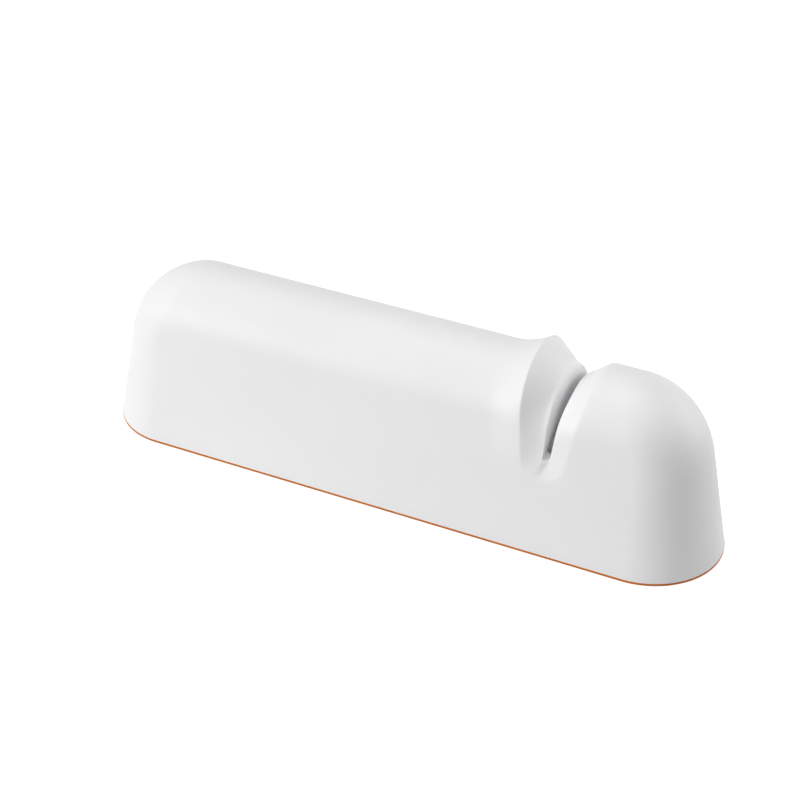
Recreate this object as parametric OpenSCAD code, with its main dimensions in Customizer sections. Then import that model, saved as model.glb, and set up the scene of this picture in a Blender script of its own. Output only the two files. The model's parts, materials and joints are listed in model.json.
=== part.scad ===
// Roll-type knife sharpener: a moulded loaf-shaped housing on a soft sole, with a pair of
// ceramic wheels that turn freely on a fixed axle under the blade slot.
// Origin at the middle of the underside, +X along the body towards the slot, +Z up.

/* [Body] */
// Length of the body at the floor
body_l = 190; // [180:1:200]
// Width of the body at the floor
body_w = 43; // [41:0.5:46]
// Height of the crest above the floor
body_h = 51; // [49:0.5:54]
// Slope of the long sides from upright, in degrees
side_draft = 8.5; // [7:0.5:10]
// Slope of the two ends from upright, in degrees
end_draft = 10.5; // [8:0.5:12]
// Radius that turns each end over into the crest
end_round = 25.5; // [23:0.5:28]
// Wall of the moulded housing
shell_t = 2.2; // [1.9:0.1:2.5]
// Thickness of the soft sole
sole_t = 0.8; // [0.6:0.1:1.4]

/* [Blade channel] */
// Distance of the blade slot from the right end of the body
slot_end = 46.75; // [45:0.25:49]
// Width of the blade slot at its floor
slot_w = 2; // [1.8:0.1:2.4]
// Lean of the slot's right wall from upright, in degrees; its left wall is upright
slot_draft = 5; // [4:0.5:6]
// Height of the floor of the blade slot, as a share of the height of the crest
slot_floor_share = 0.557; // [0.54:0.001:0.575]
// Radius of the round lower end of the channel
mouth_r = 5.8; // [5.5:0.05:6.1]
// Lean of each edge of the channel from upright, in degrees
mouth_lean = 8.2; // [7:0.2:9]
// Depth of the channel's left wall on the crest, where it meets the slot's lip
scoop_top = 1.5; // [1.2:0.1:2]
// Depth to which the left lip rolls down into the slot on the crest
lip_top = 3.5; // [2.5:0.1:4.5]
// Depth of the channel's right wall on the crest, at the root of the V
bevel_top = 7.3; // [6.6:0.1:7.8]
// Depth of the channel's right wall on the sides, at the root of the V
bevel_side = 1; // [0.8:0.1:1.4]
// Height of the flared finger guard over the crest
guard_h = 3.4; // [2.8:0.1:4]
// Length of the sweep from the handle up to the guard's edge
guard_l = 10.5; // [8:0.5:12]

/* [Wheels] */
// Outer radius of each grinding wheel
wheel_r = 11.5; // [11:0.1:11.8]
// Radius of the wheels at the root of the V
root_r = 6; // [5.8:0.1:6.4]
// Half angle of the V between the wheels, in degrees
v_half = 22; // [16:1:26]
// Width of each wheel's cylindrical rim
rim_w = 2; // [1.6:0.1:2.4]
// Thickness of the ring that keeps the wheels apart
spacer_t = 0.8; // [0.6:0.1:1.2]
// Radius of the axle
axle_r = 2; // [1.8:0.1:2.2]
// Angle of the axle from the slot's normal, in degrees
wheel_skew = 18; // [8:1:20]
// Height of the knife's edge over the floor of the slot
edge_lift = 1; // [0.8:0.1:1.5]

/* [Base] */
// Thickness of the base plate
plate_t = 2.4; // [2:0.1:3]
// Height of the base plate's rim over its floor
rim_h = 3.5; // [2.5:0.1:4.5]
// Thickness of the base plate's rim
rim_t = 1.6; // [1.4:0.1:2]
// Gap between the base plate's rim and the housing
rim_gap = 0.25; // [0.15:0.05:0.4]

/* [Hidden] */

// Overrun of every cut past the face that it opens
cut = 1;
// Radial clearance of a shaft that turns in a bore
run_gap = 0.04;
// Radial clearance of a piece that is seated in another and doesn't turn
seat_gap = 0.02;
// Clearance along the axle between turning and fixed faces
end_gap = 0.3;
// Circle segments of turned and drilled shapes
round_fn = 48;

// Crown of the cross-section: an arc tangent to both drafted sides
crown_r = (body_w / 2 * cos(side_draft) - body_h * sin(side_draft)) / (1 - sin(side_draft));
crown_z = body_h - crown_r;
// Arc that turns each end over: tangent to the drafted end and to the crest
end_z = body_h - end_round;
end_x = body_l / 2 - (end_round + end_z * sin(end_draft)) / cos(end_draft);

// Place and height of the slot's floor, and its depth below the centre of the channel's lower end
slot_x = body_l / 2 - slot_end;
slot_floor = slot_floor_share * body_h;
slot_seat = 0.5;
mouth_z = slot_floor + slot_seat;
mouth_low = mouth_z - mouth_r;
// Height below which the right wall keeps its depth of the sides
bevel_z = slot_floor + slot_w;
// Width of the lip that rolls the left wall over into the slot, and the share of a quarter turn that
// it makes
lip_w = 1;
lip_share = 0.98;
// Where the left wall's cone runs out into the lip, as a share of the way across, and how softly
scoop_end_share = 0.73;
scoop_soft_share = 0.1;
// Softness of the right wall's outer edge on the crest, as a share of the way across
bevel_soft_share = 0.1;
// Power by which the guard's height falls off from the crest, and the share of its height over which
// it starts from nothing
guard_fall = 4;
guard_start_share = 0.2;
// Power by which the right wall's depth rises towards the crest
bevel_rise = 1.8;
// Width over which the two walls blend below the slot, and the distance to the left that this crease
// runs on its way down
crease_w = 1.6;
crease_l = 1.2;
// Least half width that the net of the housing keeps below the channel
net_w = slot_w / 2 + 3 * lip_w;
// Thickness of the walls that line the slot down to the wheels
guide_t = 1.6;

// Segments of the net round a quarter of each end and over half of the crown, in the same order
end_n = [14, 8];
crown_n = [9, 6];
// The net's two skins
outer_skin = 0;
inner_skin = 1;
// Half angle of the narrow flat along the crest that closes the net
crest_a = 1.5;

// Net columns and rows, as shares of the way between neighbouring features: [outer skin, inner skin]
handle_shares = [[-0.5, 0.2], [-0.1]];
sweep_shares = [[1, 0.75, 0.5, 0.25], [1, 0.5]];
scoop_shares = [[0, 0.3, 0.6, 0.8], [0, 0.4, 0.8]];
lip_shares = [[0, 0.35, 0.7], [0]];
slot_shares = [[0.95, 0.65, 0.35, 0.05], [0.95, 0.05]];
bevel_shares = [[0.3, 0.8, 1.15], [1]];
low_row_shares = [[0, 0.5, 0.85], [0, 0.6]];
mouth_row_shares = [[0, 0.1, 0.25, 0.42, 0.6, 0.8], [0, 0.3, 0.65]];
side_row_shares = [[0, 0.25, 0.5, 0.75], [0, 0.5]];

// Screws: a pan head over a plain shank
screw_r = 1.4;
screw_head_r = 2.7;
screw_head_h = 1.5;
// Radial gap of a screw in its pilot hole and of its head in its seat
pilot_gap = 0.1;
head_gap = 0.3;
// Bite of a screw in its pilot hole
screw_bite = 9;
// Radius of the posts and seats that take a screw, and height of the base plate's seats
post_r = 3.7;
seat_r = 4.4;
seat_h = 4;
// Places of the screws along the body: two under the handle, as shares of its half length, and one
// on each side of the wheels
handle_post_shares = [-0.76, -0.25];
wheel_post_l = 26.6;
posts_x = concat([for (s = handle_post_shares) s * body_l / 2],
    [for (s = [-1, 1]) slot_x + s * wheel_post_l]);
post_gap = 0.1;
// Reach and height of the gussets at the top of each post
gusset_l = 2.4 * post_r;
gusset_h = 3 * gusset_l;

// Webs across the handle
web_x_shares = [-0.52, -0.02];
web_t = 1.4;
web_low = 14;
web_window_r = 12;

// Wheel stack, along the axle from the root of the V
cone_w = (wheel_r - root_r) * tan(v_half);
wheel_in = spacer_t / 2;
wheel_out = wheel_in + cone_w + rim_w;
hub_r = 4.6;
pad_t = 0.4;
flange_r = 8.6;
flange_t = 1.6;
hub_end = wheel_out + pad_t + flange_t;
bush_r = 3.2;
bush_l = 4;
bush_flange_r = 4.1;
bush_flange_t = 0.5;
washer_r = 4.4;
washer_t = 0.5;
stack_end = hub_end + bush_flange_t + end_gap / 2 + washer_t;
nut_thread_r = 0.925 * hub_r;

// Base plate: its upper face, its rim's upper edge, and the outline that fits there
plate_top = sole_t + plate_t;
plate_high = plate_top + rim_h;
plate_half_l = half_length(plate_high, shell_t) - rim_gap;
plate_half_w = half_width(plate_high, shell_t) - rim_gap;

// Cradle
axle_z = slot_floor + edge_lift - root_r;
cheek_gap = end_gap / 2;
cheek_in = stack_end + cheek_gap;
cheek_t = 3.2;
cheek_out = cheek_in + cheek_t;
foot_t = 2.6;
// The foot's corners keep a gap to the base plate's rim
foot_gap = 0.6;
foot_v = (plate_half_w - rim_t - foot_gap - cheek_out * sin(wheel_skew)) / cos(wheel_skew);
// Half widths of the cheeks at the axle and at the foot
cheek_v = 7;
cheek_foot_v = foot_v - 2 * foot_t;
cap_h = 4.6;
cap_screw_v = 4.7;
cap_screw_r = 0.9;
cap_head_r = 1.7;
cap_head_h = 1;
cap_bite = 6;
cradle_screw_v = foot_v - 2 * cap_head_r;
// Clearance of the wheels over the cradle's foot
wheel_clear = 1.2;

// Half width of the section at height z, on a skin that lies deep below the outer one
function half_width(z, deep) =
    z < crown_z + (crown_r - deep) * sin(side_draft)
        ? body_w / 2 - deep / cos(side_draft) - z * tan(side_draft)
        : sqrt(max(0, pow(crown_r - deep, 2) - pow(z - crown_z, 2)));

// Half length at height z, on the same skin
function half_length(z, deep) =
    z < end_z + (end_round - deep) * sin(end_draft)
        ? body_l / 2 - deep / cos(end_draft) - z * tan(end_draft)
        : end_x + sqrt(max(0, pow(end_round - deep, 2) - pow(z - end_z, 2)));

// Height of the outer skin over the middle line, at a distance x from the middle
function roof_z(x) =
    abs(x) < end_x ? body_h : end_z + sqrt(max(0, pow(end_round, 2) - pow(abs(x) - end_x, 2)));

function smooth(t) = let (s = min(1, max(0, t))) s * s * (3 - 2 * s);

// Distance inside the channel's edge of a point x from the slot's middle, at height z, with the
// edge moved out by grow; it is negative outside
function inside(x, z, grow) =
    let (v = z - mouth_z, h = abs(x))
    v > -h * tan(mouth_lean)
        ? mouth_r + grow + v * sin(mouth_lean) - h * cos(mouth_lean)
        : mouth_r + grow - sqrt(h * h + v * v);

// The same distance as a share of the distance at the channel's middle
function across(x, z, grow) =
    inside(x, z, grow) / (mouth_r + grow + max(0, z - mouth_z) * sin(mouth_lean));

// How far the guard stands out at height z
function guard(z) =
    let (t = max(0, (z - mouth_low) / (body_h - mouth_low)))
    guard_h * (1 - pow(max(0, 1 - t), guard_fall)) * smooth(t / guard_start_share);

// Depths at height z: of the left wall at the lip, of the lip's roll, and of the right wall's root
function scoop_d(z) = scoop_top * smooth((z - mouth_low) / (2 * mouth_r));
function lip_d(z) = lip_top * smooth((z - slot_floor + slot_w) / (5 * slot_w));
function bevel_d(z) =
    let (t = max(0, z - bevel_z) / (body_h - bevel_z))
    bevel_side + (bevel_top - bevel_side) * smooth(pow(t, bevel_rise));

// A ramp down to nothing at zero, rounded over a width of soft on each side
function ramp(w, soft) = w > soft ? w : w < -soft ? 0 : pow(w + soft, 2) / (4 * soft);

// Place of the slot's right lip, up being the rise of the section's normal
function right_lip(z, up) =
    slot_w / 2 + max(0, z - bevel_d(z) * up - slot_floor) * tan(slot_draft);

// Fall of the left lip at x from the slot's middle
function roll(x, z) =
    let (w = lip_share * max(0, min(1, (x + slot_w / 2) / lip_w + 1)))
    lip_d(z) * (1 - sqrt(1 - w * w));

// The guard and the cone inside it
function left_wall(x, z, grow) =
    let (s = inside(x, z, grow), q = across(x, z, grow), g = guard(z), d = scoop_d(z))
    s < 0
        ? g * pow(max(0, 1 + s / guard_l), 2)
        : (g + d) * ramp(1 - q / scoop_end_share, scoop_soft_share) - d - roll(x, z) * min(1, q);

// Share of the left wall: the two walls meet in a crease below the slot
function left_share(x, z) =
    let (low = max(0, (slot_floor - z) / (slot_floor - mouth_low)))
    smooth(1 / 2 - (x + crease_l * low) / crease_w);

// How far the skin stands out of the plain loaf
function relief(x, z, up, grow) =
    let (m = left_share(x, z))
    m * left_wall(x, z, grow)
        - (1 - m) * bevel_d(z) * ramp(across(x, z, grow), bevel_soft_share * up);

// Half width of the channel's outline at height z, as the net follows it
function net_half(z) =
    z > mouth_z
        ? (mouth_r + (z - mouth_z) * sin(mouth_lean)) / cos(mouth_lean)
        : max(net_w, sqrt(max(0, mouth_r * mouth_r - pow(z - mouth_z, 2))));

// Columns of the net from the right tangent point to the left one, x from the middle of the body
function columns(z, up, skin) =
    let (w = net_half(z), right = right_lip(z, up), left = slot_w / 2, lip = left + lip_w)
    let (bevel = bevel_shares[skin], round = lip_shares[skin], scoop = scoop_shares[skin])
    let (sweep = sweep_shares[skin], handle = handle_shares[skin])
    concat(
        [for (i = [len(bevel) - 1:-1:0]) slot_x + right + bevel[i] * (w - right)],
        [for (s = slot_shares[skin]) slot_x - left + s * (left + right)],
        [for (i = [len(round) - 1:-1:0]) slot_x - lip + round[i] * lip_w],
        [for (i = [len(scoop) - 1:-1:0]) slot_x - w + scoop[i] * (w - lip)],
        [for (i = [len(sweep) - 1:-1:0]) slot_x - w - sweep[i] * guard_l],
        [for (i = [len(handle) - 1:-1:0]) handle[i] * end_x]
    );

// Rows of the net: height, half width, and the normal of the section
function rows(low, deep, skin) =
    let (turn = crown_z + (crown_r - deep) * sin(side_draft), n = crown_n[skin])
    let (side = concat(
        [for (s = low_row_shares[skin]) low + s * (mouth_low - low)],
        [for (s = mouth_row_shares[skin]) mouth_low + s * (mouth_z - mouth_low)],
        [for (s = side_row_shares[skin]) mouth_z + s * (turn - mouth_z)]))
    concat(
        [for (z = side) [z, half_width(z, deep), cos(side_draft), sin(side_draft)]],
        [for (k = [0:n])
            let (a = (90 - side_draft) * (1 - k / n) + crest_a * k / n)
            [crown_z + (crown_r - deep) * cos(a), (crown_r - deep) * sin(a), sin(a), cos(a)]]
    );

// Back half of one ring of the net, from the right end's tip to the left end's tip
function half_ring(row, deep, grow, skin) =
    let (z = row[0], b = row[1], c = half_length(z, deep) - b, n = end_n[skin])
    concat(
        [for (k = [0:n - 1]) let (a = 90 * (k + 0.5) / n) [c + b * cos(a), b * sin(a), z]],
        [for (x = columns(z, row[3], skin))
            let (d = relief(x - slot_x, z, row[3], grow))
            [x, b + d * row[2], z + d * row[3]]],
        [for (k = [n - 1:-1:0]) let (a = 90 * (k + 0.5) / n) [-c - b * cos(a), b * sin(a), z]]
    );

// The loaf with its guard and channel, as a closed solid, its skin deep below the outer one and
// its channel wider by grow
module loaf(low, deep, grow, skin) {
    net = rows(low, deep, skin);
    halves = [for (r = net) half_ring(r, deep, grow, skin)];
    m = len(halves[0]);
    count = 2 * m;
    last = len(net) - 1;
    top = last * count;
    points = [for (h = halves) each concat(h, [for (i = [m - 1:-1:0]) [h[i][0], -h[i][1], h[i][2]]])];
    sides = [for (r = [0:last - 1], i = [0:count - 1])
        let (p = r * count + i, q = r * count + (i + 1) % count)
        each [[p, p + count, q + count], [p, q + count, q]]];
    floor_faces = [for (i = [0:m - 2])
        each [[i, i + 1, count - 2 - i], [i, count - 2 - i, count - 1 - i]]];
    crest_faces = [for (i = [0:m - 2])
        each [[top + count - 1 - i, top + count - 2 - i, top + i + 1],
            [top + count - 1 - i, top + i + 1, top + i]]];
    polyhedron(points = points, faces = concat(sides, floor_faces, crest_faces), convexity = 6);
}

// A stadium outline with its round ends at the ends of the body
module stadium(half_l, half_w) {
    square([2 * (half_l - half_w), 2 * half_w], center = true);
    for (s = [-1, 1]) translate([s * (half_l - half_w), 0]) circle(r = half_w, $fn = 2 * round_fn);
}

function post_top(x) = roof_z(abs(x) + post_r) - shell_t / 2;

// A post that hangs from the housing's roof and takes a screw, with two gussets along the body
module screw_post(x) {
    low = sole_t + seat_h + post_gap;
    high = post_top(x);
    translate([x, 0, low]) cylinder(r = post_r, h = high - low, $fn = 32);
    for (s = [-1, 1]) {
        out = x + s * gusset_l;
        hull() {
            translate([x - web_t / 2, -web_t / 2, high - gusset_h]) cube([web_t, web_t, gusset_h]);
            translate([out - web_t / 2, -web_t / 2, post_top(out) - web_t]) cube(web_t);
        }
    }
}

// A web across the handle with an arched window
module web(x) {
    difference() {
        intersection() {
            loaf(sole_t, shell_t / 2, 0, inner_skin);
            translate([x - web_t / 2, -body_w / 2, web_low]) cube([web_t, body_w, body_h]);
        }
        translate([x, 0, web_low + web_window_r])
            rotate([0, 90, 0])
                cylinder(r = web_window_r, h = web_t + 2 * cut, center = true, $fn = round_fn);
        translate([x - web_t, -web_window_r, web_low - cut])
            cube([2 * web_t, 2 * web_window_r, web_window_r + cut]);
    }
}

// The blade slot: a round floor, an upright and a leaning wall, wider all round by grow
module slot(grow) {
    high = body_h + guard_h;
    r = slot_w / 2 + grow;
    translate([slot_x, 0, 0]) rotate([90, 0, 0]) linear_extrude(2 * body_w, center = true) hull() {
        translate([0, slot_floor + slot_w / 2]) circle(r = r, $fn = round_fn / 2);
        translate([-r, high]) square([2 * r + (high - slot_floor) * tan(slot_draft), cut]);
    }
}

// Two walls that line the slot from its lips down to the wheels' clearance
module guide_walls() {
    difference() {
        intersection() {
            loaf(sole_t, shell_t / 2, 0, inner_skin);
            slot(guide_t);
        }
        on_axle() cylinder(r = wheel_r + wheel_clear, h = body_w, center = true, $fn = round_fn);
    }
}

module housing() {
    color("whitesmoke")
    difference() {
        union() {
            difference() {
                loaf(sole_t, 0, 0, outer_skin);
                loaf(sole_t - cut, shell_t, shell_t / 2, inner_skin);
            }
            for (x = posts_x) screw_post(x);
            for (s = web_x_shares) web(s * body_l / 2);
            guide_walls();
        }
        for (x = posts_x)
            translate([x, 0, sole_t])
                cylinder(r = screw_r + pilot_gap, h = seat_h + screw_bite + cut, $fn = 24);
        slot(0);
    }
}

// Ribs across the base plate
rib_t = 1.2;
rib_h = rim_h / 2;
rib_x_shares = [-0.88, -0.64, -0.4, -0.13, 0.1];

module base_plate() {
    color("silver")
    difference() {
        union() {
            translate([0, 0, sole_t]) linear_extrude(plate_t) stadium(plate_half_l, plate_half_w);
            translate([0, 0, sole_t]) linear_extrude(plate_t + rim_h) difference() {
                stadium(plate_half_l, plate_half_w);
                stadium(plate_half_l - rim_t, plate_half_w - rim_t);
            }
            for (x = posts_x) translate([x, 0, sole_t]) cylinder(r = seat_r, h = seat_h, $fn = round_fn);
            for (s = rib_x_shares)
                translate([s * body_l / 2 - rib_t / 2, -plate_half_w + rim_t / 2, plate_top - rib_t / 2])
                    cube([rib_t, 2 * plate_half_w - rim_t, rib_h]);
        }
        for (x = posts_x) translate([x, 0, sole_t]) {
            translate([0, 0, -cut])
                cylinder(r = screw_head_r + head_gap, h = screw_head_h + head_gap + cut, $fn = round_fn);
            cylinder(r = screw_r + pilot_gap, h = seat_h + cut, $fn = round_fn);
        }
        at_wheels() for (u = [-1, 1], v = [-1, 1])
            translate([u * (cheek_in + cheek_t / 2), v * cradle_screw_v, sole_t]) {
                translate([0, 0, -cut])
                    cylinder(r = cap_head_r + head_gap, h = cap_head_h + cut, $fn = round_fn);
                cylinder(r = cap_screw_r + pilot_gap, h = plate_t + cut, $fn = round_fn);
            }
    }
}

// Grooves in the underside of the sole
groove_w = 1.6;
groove_d = 0.4;
groove_edge = 5;
groove_n = 12;

module grip_sole() {
    color("darkorange")
    difference() {
        linear_extrude(sole_t) stadium(body_l / 2, body_w / 2);
        for (i = [0:groove_n - 1])
            translate([(i - (groove_n - 1) / 2) * (body_l - body_w) / groove_n - groove_w / 2,
                -body_w / 2 + groove_edge, -cut])
                cube([groove_w, body_w - 2 * groove_edge, groove_d + cut]);
    }
}

// A screw that points up, its head's underside at the origin
module screw(r, head_r, head_h, bite) {
    translate([0, 0, -head_h]) cylinder(r = head_r, h = head_h, $fn = 32);
    cylinder(r = r, h = bite, $fn = 32);
}

module housing_screws() {
    color("gray")
    for (x = posts_x)
        translate([x, 0, sole_t + screw_head_h + head_gap])
            screw(screw_r, screw_head_r, screw_head_h, seat_h - screw_head_h + screw_bite - head_gap);
}

// The wheels' own frame: over the middle of the slot, turned by the skew
module at_wheels() {
    translate([slot_x, 0, 0]) rotate([0, 0, wheel_skew]) children();
}

// The axle's frame: its X axis along the axle, at the axle's height, as a Z axis for turned pieces
module on_axle() {
    at_wheels() translate([0, 0, axle_z]) rotate([0, 90, 0]) children();
}

// A plain ring between two places on the axle
module ring(from, to, outer, inner) {
    on_axle() translate([0, 0, min(from, to)]) difference() {
        cylinder(r = outer, h = abs(to - from), $fn = round_fn);
        translate([0, 0, -cut]) cylinder(r = inner, h = abs(to - from) + 2 * cut, $fn = round_fn);
    }
}

module wheel_cradle() {
    color("dimgray")
    difference() {
        at_wheels() {
            translate([-cheek_out, -foot_v, plate_top]) cube([2 * cheek_out, 2 * foot_v, foot_t]);
            for (s = [-1, 1]) translate([s * (cheek_in + cheek_t / 2), 0, plate_top])
                rotate([90, 0, 90]) linear_extrude(cheek_t, center = true)
                    polygon([
                        [-cheek_foot_v, 0], [cheek_foot_v, 0],
                        [cheek_v, axle_z - plate_top - cap_h], [cheek_v, axle_z - plate_top],
                        [-cheek_v, axle_z - plate_top], [-cheek_v, axle_z - plate_top - cap_h]]);
        }
        on_axle() cylinder(r = axle_r + seat_gap, h = 2 * cheek_out + 2 * cut, center = true, $fn = round_fn);
        on_axle() cylinder(r = wheel_r + wheel_clear, h = 2 * cheek_in, center = true, $fn = 2 * round_fn);
        at_wheels() for (u = [-1, 1], v = [-1, 1]) {
            translate([u * (cheek_in + cheek_t / 2), v * cap_screw_v, axle_z - cap_bite])
                cylinder(r = cap_screw_r + pilot_gap, h = cap_bite + cut, $fn = round_fn);
            translate([u * (cheek_in + cheek_t / 2), v * cradle_screw_v, plate_top - cut])
                cylinder(r = cap_screw_r + pilot_gap, h = foot_t + 2 * cut, $fn = round_fn);
        }
    }
}

module cradle_screws() {
    color("gray")
    at_wheels() for (u = [-1, 1], v = [-1, 1])
        translate([u * (cheek_in + cheek_t / 2), v * cradle_screw_v, sole_t + cap_head_h])
            screw(cap_screw_r, cap_head_r, cap_head_h, plate_t - cap_head_h + foot_t);
}

module bearing_cap(side) {
    color("slategray")
    difference() {
        at_wheels() translate([side * (cheek_in + cheek_t / 2), 0, axle_z])
            rotate([90, 0, 90]) linear_extrude(cheek_t, center = true)
                polygon([
                    [-cheek_v, 0], [cheek_v, 0], [cheek_v, cap_h - axle_r],
                    [cheek_v - axle_r, cap_h], [-cheek_v + axle_r, cap_h], [-cheek_v, cap_h - axle_r]]);
        on_axle() cylinder(r = axle_r + seat_gap, h = 2 * cheek_out + 2 * cut, center = true, $fn = round_fn);
        at_wheels() for (v = [-1, 1])
            translate([side * (cheek_in + cheek_t / 2), v * cap_screw_v, axle_z - cut])
                cylinder(r = cap_screw_r + pilot_gap, h = cap_h + 2 * cut, $fn = round_fn);
    }
}

module cap_screws() {
    color("gray")
    at_wheels() for (u = [-1, 1], v = [-1, 1])
        translate([u * (cheek_in + cheek_t / 2), v * cap_screw_v, axle_z + cap_h])
            mirror([0, 0, 1]) screw(cap_screw_r, cap_head_r, cap_head_h, cap_h + cap_bite - head_gap);
}

module axle() {
    color("lightsteelblue")
    on_axle() cylinder(r = axle_r, h = 2 * cheek_out, center = true, $fn = round_fn);
}

module thrust_washer(side) {
    color("goldenrod")
    ring(side * (stack_end - washer_t), side * stack_end, washer_r, axle_r + run_gap);
}

// A flanged bush in one end of the hub
module bush(side) {
    color("burlywood")
    on_axle() difference() {
        union() {
            translate([0, 0, side * (hub_end + bush_flange_t / 2)])
                cylinder(r = bush_flange_r, h = bush_flange_t, center = true, $fn = round_fn);
            translate([0, 0, side * (hub_end - bush_l / 2 + bush_flange_t / 4)])
                cylinder(r = bush_r, h = bush_l + bush_flange_t / 2, center = true, $fn = round_fn);
        }
        cylinder(r = axle_r + run_gap, h = 2 * cheek_out, center = true, $fn = round_fn);
    }
}

// Turned about the axle: sleeve, flange at the left, seats for the bushes and a bore between them
module wheel_hub() {
    color("dimgray")
    on_axle() rotate_extrude($fn = round_fn) polygon([
        [bush_r + seat_gap, -hub_end], [flange_r, -hub_end],
        [flange_r, -hub_end + flange_t], [hub_r, -hub_end + flange_t],
        [hub_r, wheel_out + pad_t], [nut_thread_r, wheel_out + pad_t],
        [nut_thread_r, hub_end], [bush_r + seat_gap, hub_end],
        [bush_r + seat_gap, hub_end - bush_l - seat_gap],
        [axle_r + pilot_gap * 3, hub_end - bush_l - seat_gap],
        [axle_r + pilot_gap * 3, -hub_end + bush_l + seat_gap],
        [bush_r + seat_gap, -hub_end + bush_l + seat_gap]]);
}

// One ceramic wheel, its cone towards the root of the V
module wheel(side) {
    color("snow")
    on_axle() mirror([0, 0, side < 0 ? 1 : 0]) rotate_extrude($fn = 2 * round_fn) polygon([
        [hub_r + seat_gap, wheel_in], [root_r, wheel_in], [wheel_r, wheel_in + cone_w],
        [wheel_r, wheel_out], [hub_r + seat_gap, wheel_out]]);
}

module pad_ring(side) {
    color("black")
    ring(side * wheel_out, side * (wheel_out + pad_t), flange_r, hub_r + seat_gap);
}

module spacer_ring() {
    color("orange")
    ring(-wheel_in, wheel_in, root_r - spacer_t / 2, hub_r + seat_gap);
}

// Clamp nut with six notches for a pin spanner
notch_r = 0.9;

module clamp_nut() {
    color("slategray")
    on_axle() translate([0, 0, wheel_out + pad_t]) difference() {
        cylinder(r = flange_r, h = flange_t, $fn = round_fn);
        translate([0, 0, -cut]) cylinder(r = nut_thread_r + seat_gap, h = flange_t + 2 * cut, $fn = round_fn);
        for (i = [0:5]) rotate(i * 60)
            translate([flange_r, 0, -cut]) cylinder(r = notch_r, h = flange_t + 2 * cut, $fn = 24);
    }
}

housing();
base_plate();
grip_sole();
housing_screws();
wheel_cradle();
cradle_screws();
bearing_cap(-1);  // left_bearing_cap
bearing_cap(1);  // right_bearing_cap
cap_screws();
axle();
thrust_washer(-1);  // left_thrust_washer
thrust_washer(1);  // right_thrust_washer
bush(-1);  // left_bush
bush(1);  // right_bush
wheel_hub();
wheel(-1);  // left_wheel
wheel(1);  // right_wheel
spacer_ring();
pad_ring(-1);  // left_pad_ring
pad_ring(1);  // right_pad_ring
clamp_nut();
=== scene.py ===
"""Looks of the roll-type knife sharpener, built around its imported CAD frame.

The shell is remade here as one fine, smoothly shaded mesh from the same kind of net as the CAD solid,
with a leaning slot and softer lips. The sole is remade with a round lower edge. Every other piece is its
CAD solid with a procedural material. Shapes are worked out in millimetres and turned into metres by MM,
origin at the middle of the underside, +X towards the blade slot.
"""

import json
import math

import bmesh
import bpy
from mathutils import Matrix, Vector


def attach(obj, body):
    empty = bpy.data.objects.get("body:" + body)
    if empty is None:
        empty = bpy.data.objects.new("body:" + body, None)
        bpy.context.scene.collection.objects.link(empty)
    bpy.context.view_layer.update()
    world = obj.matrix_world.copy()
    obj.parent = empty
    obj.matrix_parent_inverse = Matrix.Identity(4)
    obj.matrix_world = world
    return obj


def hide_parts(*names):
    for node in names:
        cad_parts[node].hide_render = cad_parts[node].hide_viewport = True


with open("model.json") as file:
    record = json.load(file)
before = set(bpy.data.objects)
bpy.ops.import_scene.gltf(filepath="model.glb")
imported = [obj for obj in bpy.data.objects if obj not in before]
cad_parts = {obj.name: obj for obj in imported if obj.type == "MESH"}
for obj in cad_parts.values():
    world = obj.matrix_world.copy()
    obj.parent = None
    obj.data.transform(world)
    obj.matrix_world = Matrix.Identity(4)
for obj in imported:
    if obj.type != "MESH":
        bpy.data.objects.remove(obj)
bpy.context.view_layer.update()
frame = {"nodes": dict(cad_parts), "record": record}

MM = 0.001

# Loaf: drafted sides and ends under a round crown, hollow, on its sole

body_l, body_w, body_h = 190.0, 43.0, 51.0
side_draft, end_draft = math.radians(8.5), math.radians(10.5)
end_round = 25.5
shell_t, sole_t = 2.2, 0.8

# Blade slot: its middle from the right end, its width and floor, its lean to the right, its guide walls

slot_end, slot_w, slot_floor_share = 46.75, 2.0, 0.557
slot_lean = math.radians(5.3)
guide_t = 1.6

# Channel: radius and lean of its edge on both sides, round a point that lies slot_seat above the floor

right_mouth = (5.8, math.radians(8.2))
left_mouth = (6.7, math.radians(6.0))
slot_seat = 0.5

# Right wall: its depth on the crest and on the flanks, and its lip, which makes a near quarter turn

bevel_top, bevel_side, bevel_power = 7.1, 1.2, 1.8
bevel_soft_share = 0.1
right_lip_r, right_lip_share = 0.45, 0.999

# Left wall: a cone inside the guard, and the crease where it meets the right wall below the slot

scoop_top, scoop_side, scoop_rise = 2.5, 0.8, 13.4
scoop_end_top_share, scoop_end_side_share = 0.79, 0.82
scoop_top_power, scoop_side_power = 0.75, 1.4
scoop_soft_share = 0.07
crease_w, crease_l = 2.4, 2.7

# Left lip: how wide and how deep it rolls down into the slot, and how much of a quarter turn it makes

lip_w, lip_least_share = 1.0, 0.1
lip_top, lip_side, lip_rise = 4.8, 2.0, 10.0
lip_turn_share, lip_power = 0.98, 1.2

# Finger guard: a low fin on the flanks that rises over the crest, swept into the handle, with a soft edge

guard_h, guard_side, guard_l, guard_least = 3.5, 1.3, 10.5, 0.1
guard_start_share, guard_power = 0.2, 4.0
crest_low, crest_power = 36.0, 0.8
rim_soft = 0.45

# Inside: screw posts with gussets, arched webs, and the room for the wheels below the slot

post_r, post_low, pilot_r, pilot_top = 3.7, 4.9, 1.5, 14.8
handle_post_shares, wheel_post_l = (-0.38, -0.125), 26.6
gusset_l_share, gusset_h_share = 2.4, 7.2
web_t, web_low, web_window_r, web_shares = 1.4, 14.0, 12.0, (-0.26, -0.01)
wheel_r, wheel_clear, wheel_skew = 11.5, 1.2, math.radians(18)
edge_lift, root_r = 1.0, 6.0

# Sole: set back a little under the shell, with a round lower edge and grip grooves

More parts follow.
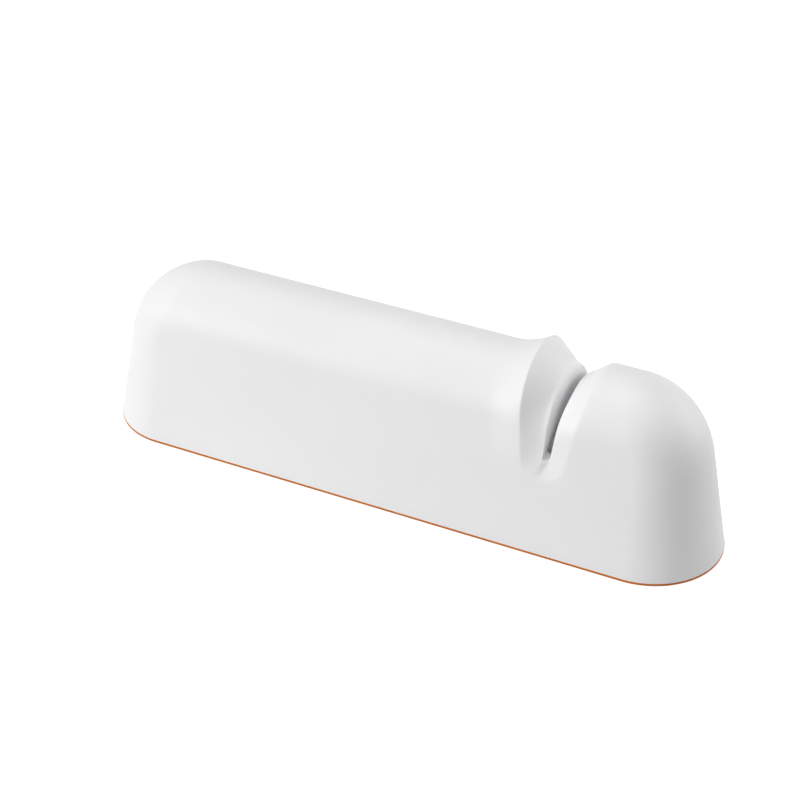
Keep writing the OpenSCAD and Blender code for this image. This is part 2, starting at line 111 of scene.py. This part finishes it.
sole_back, sole_round = 0.1, 0.25
grooves_n, groove_w, groove_d, groove_edge = 12, 1.6, 0.4, 5.0

# Net of the shell: counts for its coarsest form, rows from the foot up, columns from the right to the left

foot_rows, bowl_rows, side_rows, crown_rows = 4, 7, 5, 10
tip_columns = 12
column_counts = (7, 3, 4, 6, 6, 4, 5, 3)
column_powers = (1.0, 0.6, 1.0, 1.6, 1.0, 1.0, 1.0, 1.0)
strip_share, handle_share = 1.3, 0.7
net_spare = 3.0
merge_gap, least_edge = 0.002, 0.001

# How far a tool reaches past what it cuts, and the angle from which an edge is shaded sharp

overrun = 1.0
sharp_angle = math.radians(32)

# Places worked out from the sizes above

slot_floor = slot_floor_share * body_h
slot_x = body_l / 2 - slot_end
crown_r = (body_w / 2 * math.cos(side_draft) - body_h * math.sin(side_draft)) / (1 - math.sin(side_draft))
crown_z = body_h - crown_r
end_z = body_h - end_round
end_x = body_l / 2 - (end_round + end_z * math.sin(end_draft)) / math.cos(end_draft)
mouth_z = slot_floor + slot_seat
mouth_low = mouth_z - left_mouth[0]
bevel_z = slot_floor + slot_w
axle_z = slot_floor + edge_lift - root_r
net_least = slot_w / 2 + net_spare
lip_turn = 1 - math.sqrt(1 - lip_turn_share**2)
gusset_l, gusset_h = gusset_l_share * post_r, gusset_h_share * post_r
posts_x = [share * body_l for share in handle_post_shares] + [slot_x - wheel_post_l, slot_x + wheel_post_l]
webs_x = [share * body_l for share in web_shares]


# Curves


def smooth(t):
    """From 0 to 1 with level ends."""
    t = min(1.0, max(0.0, t))
    return t * t * (3 - 2 * t)


def ramp(w, soft):
    """w above zero, nothing below it, rounded over soft on each side."""
    if w > soft:
        return w
    return 0.0 if w < -soft else (w + soft) ** 2 / (4 * soft)


def soft_min(a, b, k):
    """The smaller of two values, blended where they are less than k apart."""
    h = max(0.0, k - abs(a - b)) / k
    return min(a, b) - h * h * k / 4


def rounding(w, r):
    """Fall of a round edge of radius r, w past its start."""
    w = max(0.0, min(w, r))
    return r - math.sqrt(r * r - w * w)


def spread(a, b, n, power=1.0):
    """n + 1 values from a to b, closer together near a if power is over 1."""
    return [a + (b - a) * (i / n) ** power for i in range(n + 1)]


# Plain loaf


def half_width(z, deep):
    """Half width of the section at height z, on a skin that lies deep below the outer one."""
    if z < crown_z + (crown_r - deep) * math.sin(side_draft):
        return body_w / 2 - deep / math.cos(side_draft) - z * math.tan(side_draft)
    return math.sqrt(max(0.0, (crown_r - deep) ** 2 - (z - crown_z) ** 2))


def half_length(z, deep):
    """Half length of the section, in the same way."""
    if z < end_z + (end_round - deep) * math.sin(end_draft):
        return body_l / 2 - deep / math.cos(end_draft) - z * math.tan(end_draft)
    return end_x + math.sqrt(max(0.0, (end_round - deep) ** 2 - (z - end_z) ** 2))


def roof(x):
    """Height inside the wall over the middle line."""
    x = abs(x)
    top = body_h if x < end_x else end_z + math.sqrt(max(0.0, end_round**2 - (x - end_x) ** 2))
    return top - shell_t / 2


# Relief of the guard and the channel: x is taken from the slot's middle, up is the normal's upward share


def inside(x, z, mouth, grow):
    """Distance inside the channel's edge on one side."""
    r, lean = mouth
    v, h = z - mouth_z, abs(x)
    if v > -h * math.tan(lean):
        return r + grow + v * math.sin(lean) - h * math.cos(lean)
    return r + grow - math.hypot(h, v)


def across(x, z, mouth, grow):
    """The same as a share of the channel's half width."""
    return inside(x, z, mouth, grow) / (mouth[0] + grow + max(0.0, z - mouth_z) * math.sin(mouth[1]))


def crest(z):
    """From 0 on the flanks to 1 on the crest."""
    return smooth((z - crest_low) / (body_h - crest_low)) ** crest_power


def guard(z):
    """How far the guard stands out."""
    t = max(0.0, (z - mouth_low) / (body_h - mouth_low))
    low = guard_side * (1 - max(0.0, 1 - t) ** guard_power) * smooth(t / guard_start_share)
    return low + (guard_h - guard_side) * crest(z)


def bevel_d(z):
    """Depth of the right wall at its root."""
    t = max(0.0, z - bevel_z) / (body_h - bevel_z)
    return bevel_side + (bevel_top - bevel_side) * smooth(t**bevel_power)


def scoop_d(z):
    """Depth of the left wall at the lip."""
    depth = scoop_side + (scoop_top - scoop_side) * crest(z)
    return depth * smooth((z - mouth_low) / scoop_rise)


def lip_d(z):
    """Depth to which the left lip rolls down into the slot."""
    depth = lip_side + (lip_top - lip_side) * crest(z)
    return depth * smooth((z - slot_floor) / lip_rise)


def lip_start(z):
    """Place where the left lip starts to roll."""
    return -slot_w / 2 - lip_w * (lip_least_share + (1 - lip_least_share) * crest(z) ** 2)


def slot_side(z):
    """How far the leaning slot has moved to the right at height z."""
    return max(0.0, z - slot_floor) * math.tan(slot_lean)


def right_depth(x, z, up, grow=0.0):
    """Depth of the right wall."""
    return bevel_d(z) * ramp(across(x, z, right_mouth, grow), bevel_soft_share * up)


def right_lip(z, up):
    """Place of the slot's right lip: its leaning wall and the channel's right wall meet there."""
    x = slot_w / 2
    for _ in range(4):
        x = slot_w / 2 + slot_side(z - right_depth(x, z, up) * up)
    return x


def left_lip(z, up):
    """Place of the slot's left lip, where the left wall has rolled down into the slot."""
    return slot_side(z - (scoop_d(z) + lip_turn * lip_d(z)) * up) - slot_w / 2


def left_wall(x, z, up, grow):
    """The guard and the cone inside it, which rolls over into the slot."""
    share, high, deep, c = across(x, z, left_mouth, grow), guard(z), scoop_d(z), crest(z)
    u = max(0.0, 1 + inside(x, z, left_mouth, grow) / guard_l)
    sweep = high * (c * u * u + (1 - c) * smooth(u))
    start = lip_start(z)
    end = scoop_end_side_share + (scoop_end_top_share - scoop_end_side_share) * c * c
    bend = scoop_side_power + (scoop_top_power - scoop_side_power) * c * c
    w = lip_turn_share * max(0.0, min(1.0, (x - start) / (left_lip(z, up) - start))) ** lip_power
    roll = lip_d(z) * (1 - math.sqrt(1 - w * w)) * max(0.0, min(1.0, share))
    cone = (high + deep) * ramp(1 - share / end, scoop_soft_share) ** bend - deep - roll
    return soft_min(sweep, cone, rim_soft * max(high, guard_least) / guard_h)


def right_wall(x, z, up, grow):
    """The flat strip that falls to the slot, and its lip."""
    lip = rounding(right_lip(z, up) + right_lip_r - x, right_lip_share * right_lip_r)
    lip *= smooth((z - slot_floor) / slot_w)
    return -right_depth(x, z, up, grow) - lip


def left_share(x, z):
    """Share of the left wall: the two walls meet in a crease below the slot."""
    low = max(0.0, (slot_floor - z) / (slot_floor - mouth_low))
    return smooth(0.5 - (x - slot_side(z) + crease_l * low) / crease_w)


def relief(x, z, up, grow):
    """How far the skin stands out of the plain loaf."""
    share = left_share(x, z)
    out = 0.0
    if share > 0:
        out += share * left_wall(x, z, up, grow)
    if share < 1:
        out += (1 - share) * right_wall(x, z, up, grow)
    return out


# Net of the loaf


def net_half(z, mouth):
    """Distance of the channel's edge from the slot's middle on one side."""
    r, lean = mouth
    if z > mouth_z:
        return (r + (z - mouth_z) * math.sin(lean)) / math.cos(lean)
    return max(net_least, math.sqrt(max(0.0, r**2 - (z - mouth_z) ** 2)))


def columns(z, up, fine):
    """Columns of the net at height z, x from the slot's middle, from the right to the left."""
    edge, left, right = net_half(z, left_mouth), left_lip(z, up), right_lip(z, up)
    stops = (
        strip_share * net_half(z, right_mouth),
        right + right_lip_r,
        right,
        left,
        lip_start(z),
        -edge + rim_soft,
        -edge - rim_soft,
        -edge - guard_l,
        -slot_x - handle_share * end_x,
    )
    xs = [stops[0]]
    for a, b, n, power in zip(stops, stops[1:], column_counts, column_powers):
        xs += spread(a, b, n * fine, power)[1:]
    return xs


def rows(low, deep, fine):
    """Rows of the net: height, half width, and the sideways and upward shares of the section's normal."""
    turn = crown_z + (crown_r - deep) * math.sin(side_draft)
    heights = spread(low, mouth_low, foot_rows * fine)
    heights += spread(mouth_low, mouth_z, bowl_rows * fine)[1:]
    heights += spread(mouth_z, turn, side_rows * fine)[1:]
    net = [(z, half_width(z, deep), math.cos(side_draft), math.sin(side_draft)) for z in heights]
    n = crown_rows * fine
    for k in range(1, n + 1):
        a = (math.pi / 2 - side_draft) * (1 - k / n)
        reach = (crown_r - deep) * math.sin(a)
        net.append((crown_z + (crown_r - deep) * math.cos(a), reach, math.sin(a), math.cos(a)))
    return net


def ring(row, deep, grow, fine):
    """Back half of one ring of the net, from the right end's tip to the left end's tip."""
    z, half, side, up = row
    middle = half_length(z, deep) - half
    n = tip_columns * fine
    quarter = [math.pi / 2 * k / n for k in range(n + 1)]
    points = [(middle + half * math.cos(a), half * math.sin(a), z) for a in quarter[:-1]]
    for x in columns(z, up, fine):
        d = relief(x, z, up, grow)
        points.append((slot_x + x, half + d * side, z + d * up))
    points += [(-middle - half * math.cos(a), half * math.sin(a), z) for a in reversed(quarter[:-1])]
    return points


def loaf(name, low, deep, grow, fine):
    """The loaf with its guard and channel as a closed mesh object, from height low up."""
    bm = bmesh.new()
    for mirror in (1, -1):
        net = [
            [bm.verts.new((x * MM, mirror * y * MM, z * MM)) for x, y, z in ring(row, deep, grow, fine)]
            for row in rows(low, deep, fine)
        ]
        for below, above in zip(net, net[1:]):
            for a, b, c, d in zip(below, below[1:], above[1:], above):
                bm.faces.new((a, b, c, d))
    bmesh.ops.remove_doubles(bm, verts=bm.verts, dist=merge_gap * MM)
    bmesh.ops.dissolve_degenerate(bm, edges=bm.edges, dist=least_edge * MM)
    bmesh.ops.holes_fill(bm, edges=[e for e in bm.edges if e.is_boundary], sides=0)
    bmesh.ops.recalc_face_normals(bm, faces=bm.faces)
    return mesh_object(name, bm)


# Mesh helpers


def mesh_object(name, bm):
    """A new object in the scene with the mesh of bm, which is used up."""
    mesh = bpy.data.meshes.new(name)
    bm.to_mesh(mesh)
    bm.free()
    piece = bpy.data.objects.new(name, mesh)
    bpy.context.scene.collection.objects.link(piece)
    return piece


def prism(name, outline, low, high, place):
    """A prism over an outline in mm, from low to high along its Z axis, put in place by a matrix."""
    bm = bmesh.new()
    rings = [[bm.verts.new((x * MM, y * MM, z * MM)) for x, y in outline] for z in (low, high)]
    bm.faces.new(rings[0])
    bm.faces.new(rings[1])
    for i in range(len(outline)):
        j = (i + 1) % len(outline)
        bm.faces.new((rings[0][i], rings[0][j], rings[1][j], rings[1][i]))
    bmesh.ops.recalc_face_normals(bm, faces=bm.faces)
    bm.transform(place)
    return mesh_object(name, bm)


def combine(target, tool, operation):
    """Joins, cuts or intersects target with tool, which is used up."""
    step = target.modifiers.new("step", "BOOLEAN")
    step.operation, step.solver, step.object = operation, "EXACT", tool
    bpy.context.view_layer.update()
    made = bpy.data.meshes.new_from_object(target.evaluated_get(bpy.context.evaluated_depsgraph_get()))
    target.modifiers.remove(step)
    old, target.data = target.data, made
    bpy.data.meshes.remove(old)
    bpy.data.objects.remove(tool)


def circle(r, n, x=0.0):
    """Outline of a circle with n sides, its middle on the X axis."""
    return [(x + r * math.cos(2 * math.pi * i / n), r * math.sin(2 * math.pi * i / n)) for i in range(n)]


def along_y(x=0.0):
    """A prism's outline turned into the XZ plane, its length along Y."""
    return Matrix.Translation((x * MM, 0, 0)) @ Matrix.Rotation(math.pi / 2, 4, "X")


def along_x(x):
    """A prism's outline turned into the YZ plane, its length along X."""
    turn = Matrix.Rotation(math.pi / 2, 4, "Z") @ Matrix.Rotation(math.pi / 2, 4, "X")
    return Matrix.Translation((x * MM, 0, 0)) @ turn


def shade(piece):
    """Smooth faces with sharp edges."""
    for face in piece.data.polygons:
        face.use_smooth = True
    piece.data.set_sharp_from_angle(angle=sharp_angle)


# Shell


def slot_tool(name, grow, n):
    """The blade slot: a round floor and leaning walls, wider all round by grow."""
    high = body_h + 2 * guard_h
    r = slot_w / 2 + grow
    arc = [math.pi - slot_lean + math.pi * k / n for k in range(n + 1)]
    outline = [(r * math.cos(a), slot_floor + slot_w / 2 + r * math.sin(a)) for a in arc]
    outline += [(x + (high - z) * math.tan(slot_lean), high) for x, z in (outline[-1], outline[0])]
    return prism(name, outline, -body_w, body_w, along_y(slot_x))


def wheel_tool():
    """The room that the wheels turn in."""
    turn = Matrix.Rotation(wheel_skew, 4, "Z") @ Matrix.Rotation(math.pi / 2, 4, "Y")
    place = Matrix.Translation((slot_x * MM, 0, axle_z * MM)) @ turn
    return prism("wheel_room", circle(wheel_r + wheel_clear, n=64), -body_w / 2, body_w / 2, place)


def gussets(x):
    """Two ribs that run from a post up and out to the roof."""
    out, half = gusset_l + web_t / 2, web_t / 2
    high, ends = roof(abs(x) + post_r), [roof(abs(x + s * gusset_l) + post_r) for s in (-1, 1)]
    outline = [(x + half, high - gusset_h), (x + out, ends[1] - web_t), (x + out, ends[1])]
    outline += [(x, high), (x - out, ends[0]), (x - out, ends[0] - web_t), (x - half, high - gusset_h)]
    return prism("gussets", outline, -half, half, along_y())


def post(x):
    """A screw post with its gussets and its pilot hole."""
    piece = prism("post", circle(post_r, n=40, x=x), post_low, roof(abs(x) + post_r), Matrix())
    combine(piece, gussets(x), "UNION")
    combine(piece, prism("pilot", circle(pilot_r, n=24, x=x), 0, pilot_top, Matrix()), "DIFFERENCE")
    return piece


def web(x):
    """A wall across the handle with an arched window."""
    n = 24
    crown = [math.pi / 2 * k / n for k in range(1, n)]
    heights = spread(web_low, crown_z, 4) + [crown_z + (crown_r - shell_t / 2) * math.sin(a) for a in crown]
    side = [(half_width(z, shell_t / 2), z) for z in heights]
    turns = [math.pi * k / n for k in range(n + 1)]
    outline = side + [(-y, z) for y, z in reversed(side)] + [(-web_window_r, web_low)]
    outline += [(-web_window_r * math.cos(a), web_low + web_window_r * (1 + math.sin(a))) for a in turns]
    outline += [(web_window_r, web_low)]
    return prism("web", outline, -web_t / 2, web_t / 2, along_x(x))


def make_shell():
    """The hollow shell with its guide walls, webs and posts."""
    shell = loaf("shell", sole_t, deep=0, grow=0, fine=2)
    combine(shell, loaf("cavity", sole_t - overrun, deep=shell_t, grow=shell_t / 2, fine=1), "DIFFERENCE")
    guides = loaf("guides", sole_t, deep=shell_t / 2, grow=0, fine=1)
    combine(guides, slot_tool("guide_room", grow=guide_t, n=8), "INTERSECT")
    combine(guides, wheel_tool(), "DIFFERENCE")
    for x in webs_x:
        combine(guides, web(x), "UNION")
    for x in posts_x:
        combine(guides, post(x), "UNION")
    combine(shell, guides, "UNION")
    combine(shell, slot_tool("slot", grow=0, n=16), "DIFFERENCE")
    shade(shell)
    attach(shell, "body")
    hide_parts("housing")
    return shell


# Sole


def stadium(inset):
    """The sole's outline: straight sides and round ends."""
    n = 64
    r, c = body_w / 2 - inset, (body_l - body_w) / 2
    turns = [math.pi * (k / n - 0.5) for k in range(n + 1)]
    half = [(c + r * math.cos(a), r * math.sin(a)) for a in turns]
    return half + [(-x, -y) for x, y in half]


def groove(x):
    """A grip groove across the sole with round ends."""
    n = 12
    r = groove_w / 2
    c = math.sqrt((body_w / 2) ** 2 - max(0.0, abs(x) - (body_l - body_w) / 2) ** 2) - groove_edge - r
    turns = [math.pi * k / n for k in range(n + 1)]
    half = [(x + r * math.cos(a), c + r * math.sin(a)) for a in turns]
    return prism("groove", half + [(2 * x - a, -b) for a, b in half], -overrun, groove_d, Matrix())


def make_sole():
    """The soft sole, from its upper edge down and round to its flat underside."""
    bm = bmesh.new()
    n = 6
    turns = [math.pi / 2 * k / n for k in range(n + 1)]
    edge = [(sole_t, 0.0)]
    edge += [(sole_round * (1 - math.sin(a)), sole_round * (1 - math.cos(a))) for a in turns]
    net = [[bm.verts.new((x * MM, y * MM, z * MM)) for x, y in stadium(sole_back + d)] for z, d in edge]
    for above, below in zip(net, net[1:]):
        for i in range(len(above)):
            j = (i + 1) % len(above)
            bm.faces.new((above[i], above[j], below[j], below[i]))
    bm.faces.new(net[0])
    bm.faces.new(net[-1])
    bmesh.ops.recalc_face_normals(bm, faces=bm.faces)
    sole = mesh_object("sole", bm)
    for i in range(grooves_n):
        combine(sole, groove((i - (grooves_n - 1) / 2) * (body_l - body_w) / grooves_n), "DIFFERENCE")
    shade(sole)
    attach(sole, "body")
    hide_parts("grip_sole")
    return sole


# Materials


class Finish:
    """A procedural material: a principled surface with its noise, colour and bump nodes."""

    def __init__(self, name, color, roughness, metallic=0.0, **more):
        self.material = bpy.data.materials.new(name)
        self.material.use_nodes = True
        self.nodes, self.links = self.material.node_tree.nodes, self.material.node_tree.links
        self.surface = self.nodes["Principled BSDF"]
        self.surface.inputs["Base Color"].default_value = (*color, 1)
        self.surface.inputs["Roughness"].default_value = roughness
        self.surface.inputs["Metallic"].default_value = metallic
        for key, value in more.items():
            self.surface.inputs[key.replace("_", " ")].default_value = value
        self.color, self.roughness = color, roughness
        self.coordinates = self.nodes.new("ShaderNodeTexCoord").outputs["Object"]

    def noise(self, size, detail, stretch=(1, 1, 1)):
        """Noise whose grains are about size millimetres across."""
        mapping = self.nodes.new("ShaderNodeMapping")
        mapping.inputs["Scale"].default_value = stretch
        self.links.new(self.coordinates, mapping.inputs["Vector"])
        node = self.nodes.new("ShaderNodeTexNoise")
        node.inputs["Scale"].default_value = 1 / (size * MM)
        node.inputs["Detail"].default_value = detail
        self.links.new(mapping.outputs["Vector"], node.inputs["Vector"])
        return node.outputs["Fac"]

    def blend_color(self, fac, other, low=0.35, high=0.65):
        """The base colour goes over to another where fac goes from low to high."""
        node = self.nodes.new("ShaderNodeValToRGB")
        node.color_ramp.elements[0].position, node.color_ramp.elements[1].position = low, high
        node.color_ramp.elements[0].color = (*self.color, 1)
        node.color_ramp.elements[1].color = (*other, 1)
        self.links.new(fac, node.inputs["Fac"])
        self.links.new(node.outputs["Color"], self.surface.inputs["Base Color"])

    def vary_roughness(self, fac, change, low=0.3, high=0.7):
        """The roughness goes up and down by change where fac goes from low to high."""
        node = self.nodes.new("ShaderNodeMapRange")
        node.inputs["From Min"].default_value, node.inputs["From Max"].default_value = low, high
        node.inputs["To Min"].default_value = self.roughness - change
        node.inputs["To Max"].default_value = self.roughness + change
        self.links.new(fac, node.inputs["Value"])
        self.links.new(node.outputs["Result"], self.surface.inputs["Roughness"])

    def bump(self, fac, height, strength):
        """Bump of a height in millimetres. A second call adds to the first."""
        node = self.nodes.new("ShaderNodeBump")
        node.inputs["Strength"].default_value = strength
        node.inputs["Distance"].default_value = height * MM
        self.links.new(fac, node.inputs["Height"])
        if self.surface.inputs["Normal"].is_linked:
            self.links.new(self.surface.inputs["Normal"].links[0].from_socket, node.inputs["Normal"])
        self.links.new(node.outputs["Normal"], self.surface.inputs["Normal"])


def white_shell():
    """Satin moulded white: a fine grain, and a slight waviness and mottle over the whole face."""
    f = Finish("white_shell", (0.83, 0.829, 0.838), 0.5, Specular_IOR_Level=0.35)
    f.blend_color(f.noise(35, 2), (0.815, 0.814, 0.823))
    f.vary_roughness(f.noise(6, 4), 0.035)
    f.bump(f.noise(0.35, 2), 0.004, 0.6)
    f.bump(f.noise(60, 1), 0.05, 0.35)
    return f.material


def moulded(name, color, roughness=0.5, mottle=0.9):
    """A plain moulded plastic: a fine grain, and a mottle that darkens the colour to a share of itself."""
    f = Finish(name, color, roughness)
    f.blend_color(f.noise(14, 3), tuple(mottle * c for c in color))
    f.vary_roughness(f.noise(3, 3), 0.06)
    f.bump(f.noise(0.5, 3), 0.01, 0.6)
    return f.material


def sole_rubber():
    """Soft orange sole with a matt grain."""
    f = Finish("sole_rubber", (0.54, 0.15, 0.002), 0.62, Specular_IOR_Level=0.3)
    f.blend_color(f.noise(10, 3), (0.50, 0.135, 0.002))
    f.vary_roughness(f.noise(2, 3), 0.06)
    f.bump(f.noise(0.4, 4), 0.02, 0.6)
    return f.material


def pad_rubber():
    """Black rubber of the rings that clamp the wheels."""
    f = Finish("pad_rubber", (0.03, 0.03, 0.03), 0.75)
    f.blend_color(f.noise(4, 3), (0.045, 0.043, 0.04))
    f.bump(f.noise(0.3, 3), 0.02, 0.6)
    return f.material


def metal(name, color, roughness, stretch=(1, 1, 1), mottle=0.88):
    """Metal with fine marks, drawn out along the axis whose stretch is small, and a slight mottle."""
    f = Finish(name, color, roughness, metallic=1.0)
    f.blend_color(f.noise(5, 4), tuple(mottle * c for c in color))
    f.vary_roughness(f.noise(1.5, 4, stretch), 0.07)
    f.bump(f.noise(0.4, 3, stretch), 0.004, 0.5)
    return f.material


def ceramic():
    """Fine-grained sintered wheels: pale warm body with darker specks and a gritty face."""
    f = Finish("ceramic", (0.80, 0.78, 0.73), 0.68)
    f.blend_color(f.noise(0.35, 4), (0.62, 0.60, 0.56), 0.56, 0.72)
    f.vary_roughness(f.noise(0.8, 3), 0.08)
    f.bump(f.noise(0.22, 4), 0.05, 0.8)
    return f.material


MATERIALS = {
    "white_shell": white_shell,
    "base_plastic": lambda: moulded("base_plastic", (0.56, 0.56, 0.55)),
    "sole_rubber": sole_rubber,
    "screw_steel": lambda: metal("screw_steel", (0.62, 0.62, 0.63), 0.32),
    "bearing_plastic": lambda: moulded("bearing_plastic", (0.10, 0.10, 0.105)),
    "axle_steel": lambda: metal("axle_steel", (0.66, 0.66, 0.67), 0.22, (0.15, 1, 1)),
    "washer_brass": lambda: metal("washer_brass", (0.72, 0.54, 0.25), 0.3),
    "bush_plastic": lambda: moulded("bush_plastic", (0.60, 0.52, 0.38), 0.45),
    "hub_plastic": lambda: moulded("hub_plastic", (0.16, 0.16, 0.165), 0.48),
    "ceramic": ceramic,
    "pad_rubber": pad_rubber,
}


def dress(piece, material):
    """The piece gets one material over its whole surface."""
    piece.data.materials.clear()
    piece.data.materials.append(material)


# Light, floor and camera, with places in metres

LAMPS = {
    "front_left": dict(at=(-0.9, -1.0, 0.3), size=(0.7, 0.4), power=11.6),
    "top": dict(at=(0.0, 0.0, 1.25), size=(1.0, 1.0), power=11.5),
    "back_right": dict(at=(0.95, 0.8, 0.5), size=(0.6, 0.5), power=4.4),
    "top_right": dict(at=(0.75, 0.0, 1.0), size=(0.8, 0.8), power=1.6),
}
LAMP_TARGET = Vector((0.0, 0.0, 0.02))
WORLD_LIGHT = 0.0
FLOOR_REACH = 6.0


def area_lamp(name, at, size, power):
    """A white soft box that faces the object."""
    data = bpy.data.lights.new(name, "AREA")
    data.shape, data.size, data.size_y = "RECTANGLE", *size
    data.energy = power
    lamp = bpy.data.objects.new(name, data)
    lamp.location = at
    lamp.rotation_euler = (LAMP_TARGET - Vector(at)).to_track_quat("-Z", "Y").to_euler()
    bpy.context.scene.collection.objects.link(lamp)


def seen_by_camera(nodes, links):
    """1 for rays from the camera, off glossy surfaces and through clear ones, 0 for lighting rays."""
    path = nodes.new("ShaderNodeLightPath")
    total = path.outputs["Is Camera Ray"]
    for kind in ("Is Glossy Ray", "Is Transmission Ray"):
        add = nodes.new("ShaderNodeMath")
        add.operation, add.use_clamp = "ADD", True
        links.new(total, add.inputs[0])
        links.new(path.outputs[kind], add.inputs[1])
        total = add.outputs[0]
    return total


def make_world():
    """A white background that lights nothing."""
    world = bpy.data.worlds.new("studio")
    bpy.context.scene.world = world
    world.use_nodes = True
    nodes, links = world.node_tree.nodes, world.node_tree.links
    light = nodes["Background"]
    light.inputs["Color"].default_value = (1, 1, 1, 1)
    light.inputs["Strength"].default_value = WORLD_LIGHT
    white = nodes.new("ShaderNodeBackground")
    white.inputs["Color"].default_value = (1, 1, 1, 1)
    white.inputs["Strength"].default_value = 1.0
    mix = nodes.new("ShaderNodeMixShader")
    links.new(seen_by_camera(nodes, links), mix.inputs["Fac"])
    links.new(light.outputs[0], mix.inputs[1])
    links.new(white.outputs[0], mix.inputs[2])
    links.new(mix.outputs[0], nodes["World Output"].inputs["Surface"])


def make_floor():
    """A plain white table that keeps the object's shadow and goes over to the white background far off."""
    bm = bmesh.new()
    bmesh.ops.create_grid(bm, x_segments=1, y_segments=1, size=FLOOR_REACH)
    floor = mesh_object("floor", bm)
    material = bpy.data.materials.new("floor_white")
    material.use_nodes = True
    nodes, links = material.node_tree.nodes, material.node_tree.links
    surface = nodes["Principled BSDF"]
    surface.inputs["Base Color"].default_value = (0.86, 0.86, 0.86, 1)
    surface.inputs["Roughness"].default_value = 0.9
    surface.inputs["Specular IOR Level"].default_value = 0.1
    surface.inputs["Emission Color"].default_value = (1, 1, 1, 1)
    place, reach, far = (nodes.new("ShaderNode" + kind) for kind in ("TexCoord", "VectorMath", "MapRange"))
    reach.operation = "LENGTH"
    for key, value in {"From Min": 0.5, "From Max": 1.5, "To Min": 0.55, "To Max": 1.0}.items():
        far.inputs[key].default_value = value
    links.new(place.outputs["Object"], reach.inputs[0])
    links.new(reach.outputs["Value"], far.inputs["Value"])
    glow = nodes.new("ShaderNodeMath")
    glow.operation = "MULTIPLY"
    links.new(seen_by_camera(nodes, links), glow.inputs[0])
    links.new(far.outputs["Result"], glow.inputs[1])
    links.new(glow.outputs[0], surface.inputs["Emission Strength"])
    dress(floor, material)


def make_camera():
    """The photograph's camera, found from the object's outline."""
    azimuth, elevation, roll = math.radians(25.789), math.radians(33.349), math.radians(0.505)
    place = Vector((0.1995, -0.41977, 0.3302))
    data = bpy.data.cameras.new("camera")
    data.sensor_width, data.lens = 36.0, 87.70
    data.clip_start, data.clip_end = 0.01, 50.0
    camera = bpy.data.objects.new("camera", data)
    turn = Matrix.Rotation(azimuth, 4, "Z") @ Matrix.Rotation(math.pi / 2 - elevation, 4, "X")
    camera.matrix_world = Matrix.Translation(place) @ turn @ Matrix.Rotation(roll, 4, "Z")
    bpy.context.scene.collection.objects.link(camera)
    bpy.context.scene.camera = camera


# The scene

finishes = {name: make() for name, make in MATERIALS.items()}
for part in frame["record"]["subparts"]:
    dress(frame["nodes"][part["node"]], finishes[part["material_slot"]])
dress(make_shell(), finishes["white_shell"])
dress(make_sole(), finishes["sole_rubber"])

make_floor()
make_world()
for name, values in LAMPS.items():
    area_lamp(name, **values)
make_camera()
bpy.context.scene.view_settings.view_transform = "Standard"
